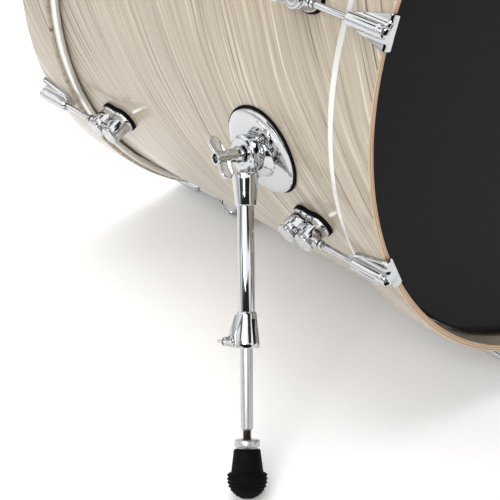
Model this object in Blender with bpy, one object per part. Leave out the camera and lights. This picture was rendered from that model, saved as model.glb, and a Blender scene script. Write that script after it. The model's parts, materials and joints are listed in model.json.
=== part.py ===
"""A 22 by 18 inch bass drum on two folding spurs, in metres with +Z up.

The resonant head faces -Y and the batter head faces +Y.  The drum leans back on its batter
hoop, because the spurs lift its front.  Inside the "drum" empty, +Y runs along the drum's axis
from the front hoop's face (y = 0) to the batter hoop's face, and +Z is up.
"""
import math

import bmesh
import bpy
from mathutils import Matrix, Vector

# Drum: radii, and lengths along its axis.
SHELL_RADIUS = 0.2794
SHELL_WALL = 0.0065
SHELL_LENGTH = 0.4572
HOOP_OUTER = 0.2905
HOOP_INNER = 0.2839
HOOP_DEPTH = 0.0435
DRUM_LENGTH = 0.4988
FLESH_HOOP_DEPTH = 0.0095
FILM = 0.0005
GAP = 0.0003
TILT = math.radians(3.0)
ROUND_STEPS = 48

# Lugs, claws and tension rods: eight of each at both ends.
LUGS_PER_HEAD = 8
LUG_PHASE = math.radians(-1.2)
LUG_Y = 0.1060
LUG_HEIGHT = 0.0270
LUG_PAD_TOP = 0.0022
LUG_PLATE_TOP = 0.0045
LUG_WEB_TOP = 0.0190
LUG_WEB_HALF_WIDTH = 0.0055
TURRET_RADIUS = 0.0098
TURRET_SPACING = 0.0222
TURRET_BEVEL = 0.0010
ROD_RADIUS = 0.0030
ROD_CIRCLE = 0.2980
NUT_RADIUS = 0.0044
NUT_END_Y = 0.0765
CLAW_REAR_Y = 0.0370
CLAW_FRONT_Y = -0.0048
CLAW_REAR_WIDTH = 0.0130
CLAW_FRONT_WIDTH = 0.0320
CLAW_PLATE = 0.0030
CLAW_LIP_DROP = 0.0055
BARREL_RADIUS = 0.0063
NOSE_RADIUS = 0.0050
NOSE_FRONT_Y = -0.0040
SOCKET_RADIUS = 0.0040
SOCKET_END_Y = 0.0010
KEY_HEAD_HALF = 0.0024

# Spurs: where the bracket sits on the shell, the hinge axis and the foot's place.
BRACKET_ANGLE = math.radians(101.2)
BRACKET_Y = 0.1525
BRACKET_RADIUS = 0.0420
GASKET_RADIUS = 0.0440
GASKET_THICKNESS = 0.0018
HINGE_REARWARD = math.radians(4.0)
HINGE_RISE = math.radians(10.0)
PIVOT_REACH = 0.0190
BOSS_ROOT_RADIUS = 0.0235
BOSS_RADIUS = 0.0165
STOP_PIN_RADIUS = 0.0030
STOP_PIN_DROP = 0.0235
BOLT_SHANK_END = 0.0062
BOLT_END = 0.0330
BOLT_REACH = 0.0145
BOLT_SPIN = math.radians(25.0)
HUB_RADIUS = 0.0075
EAR_THICKNESS = 0.0030
KNUCKLE_RADIUS = 0.0170
KNUCKLE_WIDTH = 0.0105
FOOT_X = 0.3914
FOOT_Y = 0.0477
FOOT_RADIUS = 0.0180

# Spur leg: distances from the hinge down the leg, and radii.
NECK_HALF_WIDTH = 0.0110
NECK_LENGTH = 0.0230
SLEEVE_START = 0.0165
SLEEVE_TOP_RADIUS = 0.0120
SLEEVE_END_RADIUS = 0.0094
SLEEVE_END = 0.0460
TUBE_START = 0.0240
TUBE_END = 0.1580
TUBE_RADIUS = 0.0075
TUBE_BORE = 0.0059
COLLAR_START = 0.1387
COLLAR_END = 0.1704
EAR_REACH = 0.0162
EAR_HALF_WIDTH = 0.0055
ROD_TOP = 0.0850
LEG_ROD_RADIUS = 0.0055
LEG_ROD_END = 0.2426
STUD_RADIUS = 0.0040
STUD_END = 0.2900
SPIKE_END = 0.2985
LOCK_NUT_START = 0.2505
LOCK_NUT_END = 0.2584
LOCK_NUT_RADIUS = 0.0113
FOOT_TOP = 0.2592
RUNNING_CLEARANCE = 0.0003
CLAMP_SCREW_DISTANCE = 0.1640


def material(name, colour, metallic, roughness):
    """Makes a Principled material from a colour, a metallic value and a roughness."""
    result = bpy.data.materials.new(name)
    result.use_nodes = True
    shader = result.node_tree.nodes["Principled BSDF"]
    shader.inputs["Base Color"].default_value = (*colour, 1.0)
    shader.inputs["Metallic"].default_value = metallic
    shader.inputs["Roughness"].default_value = roughness
    return result


def finish_mesh(bm):
    """Merges doubled corners, turns the faces outwards and shades the round ones smooth."""
    bmesh.ops.remove_doubles(bm, verts=bm.verts, dist=1e-6)
    bmesh.ops.recalc_face_normals(bm, faces=bm.faces)
    mesh = bpy.data.meshes.new("shape")
    bm.to_mesh(mesh)
    bm.free()
    mesh.shade_smooth()
    mesh.set_sharp_from_angle(angle=math.radians(35.0))
    return mesh


def lathe(profile, steps):
    """Turns (radius, height) points about Z.  A profile off the axis closes on itself."""
    bm = bmesh.new()
    points = [bm.verts.new((radius, 0.0, height)) for radius, height in profile]
    following = points[1:]
    if profile[0][0] > 0.0:
        following.append(points[0])
    edges = [bm.edges.new(pair) for pair in zip(points, following)]
    bmesh.ops.spin(bm, geom=points + edges, cent=(0, 0, 0), axis=(0, 0, 1), dvec=(0, 0, 0),
                   angle=math.tau, steps=steps)
    return finish_mesh(bm)


def rod(radius, low, high, steps=12):
    """Makes a plain round bar along Z."""
    return lathe([(0, low), (radius, low), (radius, high), (0, high)], steps)


def prism(outline, low, high):
    """Extrudes an (x, y) outline from one height to another."""
    bm = bmesh.new()
    face = bm.faces.new([bm.verts.new((x, y, low)) for x, y in outline])
    extruded = bmesh.ops.extrude_face_region(bm, geom=[face])["geom"]
    moved = [item for item in extruded if isinstance(item, bmesh.types.BMVert)]
    bmesh.ops.translate(bm, vec=(0, 0, high - low), verts=moved)
    return finish_mesh(bm)


def block(low, high):
    """Makes a box from its lowest corner to its highest."""
    outline = [(low[0], low[1]), (high[0], low[1]), (high[0], high[1]), (low[0], high[1])]
    return prism(outline, low[2], high[2])


def moved(mesh, matrix):
    """Returns the mesh after moving its points by a matrix."""
    mesh.transform(matrix)
    return mesh


def combine(base, tools, operation="UNION"):
    """Unites meshes with the base, or cuts them from it, as one closed mesh."""
    objects = [bpy.data.objects.new("work", mesh) for mesh in [base, *tools]]
    for item in objects:
        bpy.context.scene.collection.objects.link(item)
    for tool in objects[1:]:
        step = objects[0].modifiers.new("step", "BOOLEAN")
        step.operation = operation
        step.solver = "EXACT"
        step.object = tool
    evaluated = objects[0].evaluated_get(bpy.context.evaluated_depsgraph_get())
    result = bpy.data.meshes.new_from_object(evaluated)
    for item in objects:
        bpy.data.objects.remove(item)
    return result


def add(name, mesh, finish, parent, matrix=None):
    """Adds a mesh as a named object under a parent, with its material."""
    result = bpy.data.objects.new(name, mesh)
    bpy.context.scene.collection.objects.link(result)
    result.data.materials.clear()
    result.data.materials.append(finish)
    result.parent = parent
    if matrix is not None:
        result.matrix_basis = matrix
    return result


def add_empty(name, parent, matrix):
    """Adds an empty, which carries the pieces that move with it."""
    result = bpy.data.objects.new(name, None)
    bpy.context.scene.collection.objects.link(result)
    result.empty_display_size = 0.05
    result.parent = parent
    result.matrix_basis = matrix
    return result


def facing(origin, z_axis, toward):
    """Makes a matrix whose Z is z_axis and whose X lies as near to toward as it can."""
    z_axis = z_axis.normalized()
    y_axis = z_axis.cross(toward).normalized()
    x_axis = y_axis.cross(z_axis)
    turn = Matrix((x_axis, y_axis, z_axis)).transposed()
    return Matrix.Translation(origin) @ turn.to_4x4()


def along_y(mesh):
    """Lays a turned mesh down, so that its height runs along +Y."""
    return moved(mesh, Matrix.Rotation(-math.pi / 2, 4, "X"))


def along_x(mesh):
    """Lays a turned mesh down, so that its height runs along +X."""
    return moved(mesh, Matrix.Rotation(math.pi / 2, 4, "Y"))


# The drum's body.

def shell_mesh():
    """The ply tube, with its bearing edges cut at 45 degrees on the inside."""
    front = (DRUM_LENGTH - SHELL_LENGTH) / 2
    back = front + SHELL_LENGTH
    inner = SHELL_RADIUS - SHELL_WALL
    crown = SHELL_RADIUS - 0.0015
    slope = crown - inner
    profile = [(SHELL_RADIUS, front + 0.0015), (SHELL_RADIUS, back - 0.0015), (crown, back),
               (inner, back - slope), (inner, front + slope), (crown, front)]
    return along_y(lathe(profile, ROUND_STEPS))


def hoop_mesh():
    """A wood hoop, with its face at y = 0 and small chamfers on the outer corners."""
    chamfer = 0.0012
    profile = [(HOOP_INNER, 0), (HOOP_OUTER - chamfer, 0), (HOOP_OUTER, chamfer),
               (HOOP_OUTER, HOOP_DEPTH), (HOOP_INNER, HOOP_DEPTH)]
    return along_y(lathe(profile, ROUND_STEPS))


def head_mesh():
    """The flat film of a drumhead, lying just off the bearing edge."""
    edge = (DRUM_LENGTH - SHELL_LENGTH) / 2 - GAP
    profile = [(0, edge - FILM), (SHELL_RADIUS + 0.0005, edge - FILM), (SHELL_RADIUS + 0.0005, edge),
               (0, edge)]
    return along_y(lathe(profile, ROUND_STEPS))


def flesh_hoop_mesh():
    """The metal hoop of a drumhead, with the collar of film that rises inside the wood hoop."""
    collar_inner = SHELL_RADIUS + 0.0010
    collar_outer = collar_inner + 0.0012
    collar_top = (DRUM_LENGTH - SHELL_LENGTH) / 2
    start = HOOP_DEPTH + GAP
    profile = [(collar_inner, collar_top), (collar_outer, collar_top), (collar_outer, start),
               (HOOP_INNER + 0.0032, start), (HOOP_INNER + 0.0032, start + FLESH_HOOP_DEPTH),
               (collar_inner, start + FLESH_HOOP_DEPTH)]
    return along_y(lathe(profile, ROUND_STEPS))


# Tension hardware, with x around the drum, y along it and z outwards.

def peanut(half_length, half_width, count=14):
    """A waisted outline: two round ends along Y that pull in between them."""
    mean = (half_length + half_width) / 2
    swing = (half_length - half_width) / 2
    points = []
    for index in range(count):
        angle = math.tau * index / count
        reach = mean + swing * math.cos(2 * angle)
        points.append((-reach * math.sin(angle), reach * math.cos(angle)))
    return points


def turret_mesh(y):
    """A lug's round post with a chamfered cap."""
    profile = [(0, LUG_PAD_TOP), (TURRET_RADIUS, LUG_PAD_TOP),
               (TURRET_RADIUS, LUG_HEIGHT - TURRET_BEVEL), (TURRET_RADIUS - TURRET_BEVEL, LUG_HEIGHT),
               (0, LUG_HEIGHT)]
    return moved(lathe(profile, 12), Matrix.Translation((0, y, 0)))


def lug_mesh():
    """A two-post lug on its pad and plate, with the swivel nut in the post by the hoop."""
    near = -TURRET_SPACING / 2
    far = TURRET_SPACING / 2
    nut = along_y(rod(NUT_RADIUS, NUT_END_Y - LUG_Y, near, 8))
    pad = prism(peanut(0.0228, 0.0115), GAP, LUG_PAD_TOP)
    plate = prism(peanut(0.0220, 0.0106), LUG_PAD_TOP - GAP, LUG_PLATE_TOP)
    web = block((-LUG_WEB_HALF_WIDTH, near, LUG_PAD_TOP), (LUG_WEB_HALF_WIDTH, far, LUG_WEB_TOP))
    return combine(pad, [plate, turret_mesh(near), turret_mesh(far), web,
                         moved(nut, Matrix.Translation((0, 0, ROD_CIRCLE - SHELL_RADIUS)))])


def claw_barrel():
    """The claw's round housing with its smaller nose, along +Y."""
    shoulder = NOSE_FRONT_Y + CLAW_PLATE
    return along_y(lathe([(0, NOSE_FRONT_Y), (NOSE_RADIUS, NOSE_FRONT_Y), (NOSE_RADIUS, shoulder),
                          (BARREL_RADIUS, shoulder), (BARREL_RADIUS, CLAW_REAR_Y), (0, CLAW_REAR_Y)], 10))


def claw_mesh():
    """A claw hook over a wood hoop, with its tension rod; y = 0 is the hoop's face, z = 0 its rim."""
    front = CLAW_FRONT_WIDTH / 2
    rear = CLAW_REAR_WIDTH / 2
    outline = [(-rear, CLAW_REAR_Y - GAP), (-front, CLAW_FRONT_Y), (front, CLAW_FRONT_Y),
               (rear, CLAW_REAR_Y - GAP)]
    plate = prism(outline, GAP, GAP + CLAW_PLATE)
    lip = block((GAP - front, CLAW_FRONT_Y + GAP, -CLAW_LIP_DROP), (front - GAP, -GAP, CLAW_PLATE / 2))
    raise_up = Matrix.Translation((0, 0, ROD_CIRCLE - HOOP_OUTER))
    socket = along_y(rod(SOCKET_RADIUS, NOSE_FRONT_Y - CLAW_PLATE, SOCKET_END_Y, 8))
    head = block((-KEY_HEAD_HALF, NOSE_FRONT_Y + GAP, -KEY_HEAD_HALF),
                 (KEY_HEAD_HALF, SOCKET_END_Y + GAP, KEY_HEAD_HALF))
    shank = along_y(rod(ROD_RADIUS, CLAW_REAR_Y - CLAW_PLATE, NUT_END_Y - GAP, 8))
    hollow = combine(combine(plate, [lip, moved(claw_barrel(), raise_up)]), [moved(socket, raise_up)],
                     "DIFFERENCE")
    return combine(hollow, [moved(head, raise_up), moved(shank, raise_up)])


# Spur brackets, with x around the drum, y along it and z outwards from the shell.

def hinge_direction(side):
    """The hinge axis in the drum's space, pointing away from the drum."""
    outward = side * math.cos(HINGE_REARWARD) * math.cos(HINGE_RISE)
    return Vector((outward, math.sin(HINGE_REARWARD) * math.cos(HINGE_RISE), math.sin(HINGE_RISE)))


def bracket_matrix(side):
    """Where a bracket's base meets the shell; side is -1 on the drum's right and 1 on its left."""
    turn = Matrix.Rotation(side * BRACKET_ANGLE, 4, "Y")
    return turn @ Matrix.Translation((0, BRACKET_Y, SHELL_RADIUS))


def shell_cutter():
    """The shell's cylinder in a bracket's space, a little larger than the shell itself."""
    start = -BRACKET_Y
    radius = SHELL_RADIUS + 2 * GAP
    cylinder = along_y(rod(radius, start, start + SHELL_LENGTH, 2 * ROUND_STEPS))
    return moved(cylinder, Matrix.Translation((0, 0, -SHELL_RADIUS)))


def gasket_mesh():
    """The rubber pad under a bracket, hollowed to the shell's curve."""
    disc = rod(GASKET_RADIUS, -0.0060, GASKET_THICKNESS, 28)
    return combine(disc, [shell_cutter()], "DIFFERENCE")


def bracket_mesh(side, axis):
    """The domed base, its slanting boss with the bolt's hole, and the stop pin below the boss."""
    base = GASKET_THICKNESS + GAP
    dome = [(0, base), (BRACKET_RADIUS, base), (BRACKET_RADIUS, base + 0.0016), (0.0370, 0.0048),
            (0.0260, 0.0058), (0.0140, 0.0063), (0, 0.0064)]
    slant = facing(Vector((0, 0, 0)), axis, Vector((0, 1, 0)))
    boss_end = PIVOT_REACH - KNUCKLE_WIDTH / 2 - GAP
    boss = moved(lathe([(0, -0.0060), (BOSS_ROOT_RADIUS, -0.0060), (BOSS_RADIUS, boss_end),
                       (0, boss_end)], 16), slant)
    below = block((-GASKET_RADIUS, -GASKET_RADIUS, -0.0300), (GASKET_RADIUS, GASKET_RADIUS, base + GAP))
    boss = combine(boss, [below], "DIFFERENCE")
    pin = moved(rod(STOP_PIN_RADIUS, 0.0040, 0.0095, 8),
                Matrix.Translation((side * STOP_PIN_DROP, 0, 0)) @ slant)
    hole = moved(rod(STUD_RADIUS + RUNNING_CLEARANCE, 0.0050, 0.0300, 12), slant)
    return combine(combine(lathe(dome, 28), [boss, pin]), [hole], "DIFFERENCE")


def wing(height, reach, width):
    """One rounded ear of a wing screw, standing out along +X from the screw's axis."""
    points = [(0, height - width / 2), (0, height + width / 2)]
    for index in range(7):
        angle = math.pi / 2 - math.pi * index / 6
        points.append((reach + 0.5 * width * math.cos(angle), height + 0.5 * width * math.sin(angle)))
    shape = prism(points, -EAR_THICKNESS / 2, EAR_THICKNESS / 2)
    return moved(shape, Matrix.Rotation(math.pi / 2, 4, "X"))


def wing_screw(shank_radius, shank_start, hub_start, hub_end, hub_radius, reach):
    """A screw along Z with a tapering, hollow-ended hub and two ears."""
    length = hub_end - hub_start
    tip_radius = 0.6 * hub_radius
    recess_radius = 0.5 * tip_radius
    recess_floor = hub_end - 0.3 * length
    profile = [(0, shank_start), (shank_radius, shank_start), (shank_radius, hub_start),
               (hub_radius, hub_start), (hub_radius, hub_start + 0.2 * length), (tip_radius, hub_end),
               (recess_radius, hub_end), (recess_radius, recess_floor), (0, recess_floor)]
    width = 0.45 * length
    middle = hub_end - 0.30 * length
    ear = wing(middle, reach, width)
    core = rod(0.9 * tip_radius, hub_start, hub_end, 12)
    ears = [combine(ear, [core], "DIFFERENCE")]
    ears.append(moved(ears[0].copy(), Matrix.Rotation(math.pi, 4, "Z")))
    return combine(lathe(profile, 14), ears)


# Spur legs, with z down the leg from the hinge and x towards the hinge axis's outer end.

def tube(outer, inner, low, high, steps):
    """A round pipe along Z."""
    return lathe([(outer, low), (outer, high), (inner, high), (inner, low)], steps)


def knuckle_mesh(lean):
    """The disc on the hinge axis, with the tapered sleeve that holds the outer tube."""
    half = KNUCKLE_WIDTH / 2
    disc = lathe([(0, -half), (KNUCKLE_RADIUS, -half), (KNUCKLE_RADIUS, half), (0, half)], 18)
    tip = Matrix.Rotation(lean, 4, "Y")
    disc = moved(disc, tip)
    sleeve = lathe([(0, SLEEVE_START), (SLEEVE_TOP_RADIUS, SLEEVE_START), (SLEEVE_END_RADIUS, SLEEVE_END),
                    (0, SLEEVE_END)], 16)
    neck_half = half - 2.5 * GAP
    neck = moved(block((-NECK_LENGTH, -NECK_HALF_WIDTH, -neck_half), (0.0, NECK_HALF_WIDTH, neck_half)), tip)
    boss_room = moved(rod(BOSS_RADIUS + 0.0018, -0.0300, GAP - half, 20), tip)
    bolt_room = moved(rod(HUB_RADIUS + 0.0010, half - GAP, 0.0300, 16), tip)
    sleeve = combine(sleeve, [boss_room, bolt_room], "DIFFERENCE")
    socket = rod(TUBE_RADIUS + GAP, TUBE_START - GAP, SLEEVE_END + 0.01, 16)
    hole = moved(rod(STUD_RADIUS + RUNNING_CLEARANCE, -0.0200, 0.0200, 12), tip)
    return combine(combine(disc, [neck, sleeve]), [socket, hole], "DIFFERENCE")


def collar_mesh():
    """The clamp collar at the tube's end, flared on the side that takes the clamp screw."""
    body = lathe([(0, COLLAR_START), (0.0088, COLLAR_START), (0.0118, COLLAR_END - 0.004),
                  (0.0112, COLLAR_END), (0, COLLAR_END)], 16)
    inside = TUBE_RADIUS - TUBE_BORE
    outline = [(inside, COLLAR_START + 0.0015), (0.0092, COLLAR_START + 0.0015), (EAR_REACH, 0.1585),
               (EAR_REACH, COLLAR_END - 0.0030), (EAR_REACH - 0.0025, COLLAR_END - 0.0005),
               (inside, COLLAR_END - 0.0005)]
    ear = moved(prism(outline, -EAR_HALF_WIDTH, EAR_HALF_WIDTH), Matrix.Rotation(math.pi / 2, 4, "X"))
    to_screw = Matrix.Translation((0, 0, CLAMP_SCREW_DISTANCE))
    tube_seat = rod(TUBE_RADIUS + GAP, COLLAR_START - 0.01, TUBE_END + GAP, 16)
    rod_hole = rod(LEG_ROD_RADIUS + RUNNING_CLEARANCE, TUBE_END - 0.01, COLLAR_END + 0.01, 16)
    screw_hole = moved(along_x(rod(0.0033, 0.0045, 0.0200, 10)), to_screw)
    solid = combine(body, [ear])
    return combine(solid, [tube_seat, rod_hole, screw_hole], "DIFFERENCE")


def leg_rod_mesh():
    """The sliding rod with its chamfered end, threaded stud and steel spike."""
    return lathe([(0, ROD_TOP), (LEG_ROD_RADIUS, ROD_TOP), (LEG_ROD_RADIUS, LEG_ROD_END - 0.0015),
                  (STUD_RADIUS, LEG_ROD_END), (STUD_RADIUS, STUD_END), (0, SPIKE_END)], 16)


def lock_nut_mesh():
    """The round lock nut on the stud."""
    bore = STUD_RADIUS + RUNNING_CLEARANCE
    bevel = 0.0008
    return lathe([(bore, LOCK_NUT_START), (LOCK_NUT_RADIUS - bevel, LOCK_NUT_START),
                  (LOCK_NUT_RADIUS, LOCK_NUT_START + bevel), (LOCK_NUT_RADIUS, LOCK_NUT_END - bevel),
                  (LOCK_NUT_RADIUS - bevel, LOCK_NUT_END), (bore, LOCK_NUT_END)], 18)


def foot_mesh(centre):
    """The rubber foot: a bored cone that widens to a ball about the centre."""
    bore = STUD_RADIUS + RUNNING_CLEARANCE
    ball = []
    for degrees in (74, 58, 42, 28, 16):
        angle = math.radians(degrees)
        ball.append((FOOT_RADIUS * math.sin(angle), centre + FOOT_RADIUS * math.cos(angle)))
    mouth = centre + FOOT_RADIUS * math.cos(math.radians(16))
    profile = [(bore, FOOT_TOP), (0.0118, FOOT_TOP), (0.0142, centre - 0.0070),
               (0.0166, centre - 0.0060), (FOOT_RADIUS, centre - 0.0010), *ball, (bore, mouth)]
    return lathe(profile, 16)


# The assembly.

def floor_below_axis():
    """How far the floor lies below the drum's frame, where the leaning batter hoop touches it."""
    return DRUM_LENGTH * math.sin(TILT) + HOOP_OUTER * math.cos(TILT)


def foot_point(side):
    """The centre of a foot's ball in the drum's space, one ball radius above the floor."""
    height = FOOT_RADIUS - floor_below_axis() + FOOT_Y * math.sin(TILT)
    return Vector((side * FOOT_X, FOOT_Y, height / math.cos(TILT)))


def add_heads(drum, finishes):
    """Adds the shell and, at each end, the hoop, the film and its flesh hoop."""
    add("shell", shell_mesh(), finishes["wrap"], drum)
    turned = Matrix.Translation((0, DRUM_LENGTH, 0)) @ Matrix.Rotation(math.pi, 4, "Z")
    hoop = hoop_mesh()
    film = head_mesh()
    flesh_hoop = flesh_hoop_mesh()
    for end, film_finish, place in (("resonant", "film", Matrix.Identity(4)),
                                    ("batter", "coated_film", turned)):
        add(end + "_hoop", hoop, finishes["wrap"], drum, place)
        add(end + "_head", film, finishes[film_finish], drum, place)
        add(end + "_flesh_hoop", flesh_hoop, finishes["steel"], drum, place)


def add_tension_hardware(drum, finishes):
    """Adds the lugs and the claws with their rods around both ends."""
    lug = lug_mesh()
    claw = claw_mesh()
    flip = Matrix.Rotation(math.pi, 4, "Z")
    for index in range(LUGS_PER_HEAD):
        turn = Matrix.Rotation(math.tau * (index + 0.5) / LUGS_PER_HEAD + LUG_PHASE, 4, "Y")
        number = str(index + 1)
        lug_front = turn @ Matrix.Translation((0, LUG_Y, SHELL_RADIUS))
        lug_back = turn @ Matrix.Translation((0, DRUM_LENGTH - LUG_Y, SHELL_RADIUS)) @ flip
        claw_front = turn @ Matrix.Translation((0, 0, HOOP_OUTER))
        claw_back = turn @ Matrix.Translation((0, DRUM_LENGTH, HOOP_OUTER)) @ flip
        add("resonant_lug_" + number, lug, finishes["chrome"], drum, lug_front)
        add("batter_lug_" + number, lug, finishes["chrome"], drum, lug_back)
        add("resonant_claw_" + number, claw, finishes["chrome"], drum, claw_front)
        add("batter_claw_" + number, claw, finishes["chrome"], drum, claw_back)


def add_spur(name, side, drum, finishes):
    """Adds one bracket and its leg; the leg's empty stands on the hinge axis."""
    seat = bracket_matrix(side)
    direction = hinge_direction(side)
    axis_on_bracket = seat.to_3x3().inverted() @ direction
    add(name + "_gasket", gasket_mesh(), finishes["rubber"], drum, seat)
    add(name + "_bracket", bracket_mesh(side, axis_on_bracket), finishes["chrome"], drum, seat)
    pivot = seat.translation + PIVOT_REACH * direction
    down_leg = foot_point(side) - pivot
    bolt = wing_screw(STUD_RADIUS, -0.0085, BOLT_SHANK_END, BOLT_END, HUB_RADIUS, BOLT_REACH)
    add(name + "_bracket_wing_bolt", bolt, finishes["chrome"], drum,
        facing(pivot, direction, down_leg) @ Matrix.Rotation(-side * BOLT_SPIN, 4, "Z"))

    leg = add_empty(name + "_leg", drum, facing(pivot, down_leg, direction))
    lean = direction.angle(down_leg)
    add(name + "_knuckle", knuckle_mesh(lean), finishes["chrome"], leg)
    add(name + "_outer_tube", tube(TUBE_RADIUS, TUBE_BORE, TUBE_START, TUBE_END, 16),
        finishes["chrome"], leg)
    add(name + "_clamp_collar", collar_mesh(), finishes["chrome"], leg)
    screw = wing_screw(STUD_RADIUS - 0.001, 0.0058, 0.0166, 0.0250, 0.0045, 0.0085)
    screw_place = facing(Vector((0, 0, CLAMP_SCREW_DISTANCE)), Vector((1, 0, 0)), Vector((0, 1, 0)))
    add(name + "_clamp_wing_screw", screw, finishes["chrome"], leg, screw_place)
    add(name + "_inner_rod", leg_rod_mesh(), finishes["chrome"], leg)
    add(name + "_lock_nut", lock_nut_mesh(), finishes["chrome"], leg)
    add(name + "_rubber_foot", foot_mesh(down_leg.length), finishes["rubber"], leg)


def centre_on_origin(drum):
    """Slides the drum along Y so that the whole object's box is centred on the origin."""
    bpy.context.view_layer.update()
    depths = []
    for item in bpy.data.objects:
        if item.type == "MESH":
            depths.extend((item.matrix_world @ Vector(corner)).y for corner in item.bound_box)
    drum.location.y -= (min(depths) + max(depths)) / 2


def main():
    for item in list(bpy.data.objects):
        bpy.data.objects.remove(item)
    finishes = {
        "wrap": material("wrap", (0.61, 0.53, 0.42), 0.0, 0.25),
        "film": material("film", (0.02, 0.02, 0.02), 0.0, 0.15),
        "coated_film": material("coated_film", (0.80, 0.79, 0.76), 0.0, 0.70),
        "steel": material("steel", (0.80, 0.80, 0.80), 1.0, 0.30),
        "chrome": material("chrome", (0.90, 0.90, 0.92), 1.0, 0.08),
        "rubber": material("rubber", (0.02, 0.02, 0.02), 0.0, 0.70),
    }
    stand = Matrix.Translation((0, 0, floor_below_axis())) @ Matrix.Rotation(-TILT, 4, "X")
    drum = add_empty("drum", None, stand)
    add_heads(drum, finishes)
    add_tension_hardware(drum, finishes)
    add_spur("right_spur", -1, drum, finishes)
    add_spur("left_spur", 1, drum, finishes)
    centre_on_origin(drum)


main()
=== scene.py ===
import json
import math

import bmesh
import bpy
from mathutils import Matrix, Vector


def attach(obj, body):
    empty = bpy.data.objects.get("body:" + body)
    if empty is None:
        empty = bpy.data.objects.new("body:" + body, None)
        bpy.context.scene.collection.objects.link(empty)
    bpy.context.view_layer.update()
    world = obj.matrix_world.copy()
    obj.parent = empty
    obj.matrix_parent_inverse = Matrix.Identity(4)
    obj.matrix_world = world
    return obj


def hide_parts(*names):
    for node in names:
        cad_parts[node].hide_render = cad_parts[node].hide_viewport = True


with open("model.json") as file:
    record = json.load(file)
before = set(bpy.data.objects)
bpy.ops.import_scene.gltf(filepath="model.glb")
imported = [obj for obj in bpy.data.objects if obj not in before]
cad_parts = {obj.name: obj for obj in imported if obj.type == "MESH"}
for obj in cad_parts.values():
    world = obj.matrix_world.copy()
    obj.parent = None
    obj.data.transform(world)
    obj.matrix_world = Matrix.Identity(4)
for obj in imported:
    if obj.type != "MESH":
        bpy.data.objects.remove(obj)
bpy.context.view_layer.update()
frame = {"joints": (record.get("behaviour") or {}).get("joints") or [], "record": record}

# Sizes in metres, and angles.  Most repeat the CAD's; teeth, tread and streaks are only here.
SHELL_RADIUS = 0.2794
SHELL_WALL = 0.0065
SHELL_LENGTH = 0.4572
HOOP_OUTER = 0.2905
HOOP_INNER = 0.2839
HOOP_DEPTH = 0.0435
HOOP_PLIES = 6
LUGS_PER_HEAD = 8
LUG_PHASE = math.radians(-1.2)
LUG_Y = 0.1060
LUG_HEIGHT = 0.0270
TURRET_RADIUS = 0.0098
TURRET_SPACING = 0.0222
ROD_CIRCLE = 0.2980
ROD_RADIUS = 0.0030
NUT_END_Y = 0.0765
CLAW_REAR_Y = 0.0370
CLAW_FRONT_Y = -0.0048
CLAW_REAR_WIDTH = 0.0130
CLAW_FRONT_WIDTH = 0.0320
CLAW_LIP_DROP = 0.0055
BARREL_RADIUS = 0.0063
BRACKET_ANGLE = math.radians(101.2)
BRACKET_Y = 0.1525
BRACKET_RADIUS = 0.0420
GASKET_RADIUS = 0.0440
PIVOT_REACH = 0.0190
STOP_PIN_DROP = 0.0235
KNUCKLE_RADIUS = 0.0170
KNUCKLE_HALF = 0.00525
GAP = 0.0003
BOSS_END = PIVOT_REACH - KNUCKLE_HALF - GAP
TEETH = 40
TEETH_RADIUS = 0.0164
TEETH_WIDTH = 0.0024
TOOTH_DEPTH = 0.0005
SLEEVE_START = 0.0165
SLEEVE_END = 0.0460
TUBE_START = 0.0300
TUBE_END = 0.1580
TUBE_RADIUS = 0.0075
TUBE_BORE = 0.0059
COLLAR_START = 0.1387
COLLAR_END = 0.1704
EAR_REACH = 0.0162
EAR_HALF_WIDTH = 0.0055
LEG_ROD_RADIUS = 0.0055
LEG_ROD_START = 0.0850
LEG_ROD_END = 0.2426
STUD_RADIUS = 0.0040
STUD_END = 0.2900
SPIKE_END = 0.2985
LOCK_NUT_START = 0.2505
LOCK_NUT_END = 0.2584
FOOT_TOP = 0.2592
FOOT_RADIUS = 0.0180
TREAD_DEPTH = 0.0011
STREAK_LEAN = math.radians(32.0)
BOLT_SPIN = math.radians(25.0)

mounts = {mount["name"]: mount for mount in frame["record"]["mounts"]}
joints = {joint["name"]: joint for joint in frame["joints"]}


# Frames of reference.

def facing(origin, z_axis, toward):
    """A matrix whose Z is z_axis and whose X lies as near to toward as it can."""
    z_axis = Vector(z_axis).normalized()
    y_axis = z_axis.cross(Vector(toward)).normalized()
    x_axis = y_axis.cross(z_axis)
    turn = Matrix((x_axis, y_axis, z_axis)).transposed()
    return Matrix.Translation(Vector(origin)) @ turn.to_4x4()


def drum_matrix():
    """The drum's own space: +Y runs back along its axis from the front hoop's face."""
    back = Vector(mounts["batter_hoop_face"]["axis"]).normalized()
    side = Vector((1, 0, 0))
    up = side.cross(back)
    turn = Matrix((side, back, up)).transposed()
    centre = Vector(mounts["resonant_hoop_face"]["pos_m"]) + up * (HOOP_INNER + HOOP_OUTER) / 2
    return Matrix.Translation(centre) @ turn.to_4x4()


DRUM = drum_matrix()
HOOP_FACES = [Vector(mounts[name]["pos_m"]) for name in ("resonant_hoop_face", "batter_hoop_face")]
DRUM_LENGTH = (HOOP_FACES[1] - HOOP_FACES[0]).length
HALF_TURN = Matrix.Rotation(math.pi, 4, "Z")


# Mesh tools.  Every shape is a bmesh until mesh_of() joins a list of them into one mesh.

def fillet(points, radius, closed=False, arc=3):
    """Rounds the corners of a line of (a, b) points by up to the radius."""
    result = []
    count = len(points)
    for index, point in enumerate(points):
        at_end = index in (0, count - 1)
        if at_end and not closed:
            result.append(point)
            continue
        here = Vector(point)
        before = Vector(points[index - 1]) - here
        after = Vector(points[(index + 1) % count]) - here
        reach = min(radius, 0.45 * before.length, 0.45 * after.length)
        start = here + before.normalized() * reach
        end = here + after.normalized() * reach
        for step in range(arc + 1):
            t = step / arc
            blend = start * (1 - t) ** 2 + here * 2 * t * (1 - t) + end * t ** 2
            result.append((blend.x, blend.y))
    return result


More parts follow.
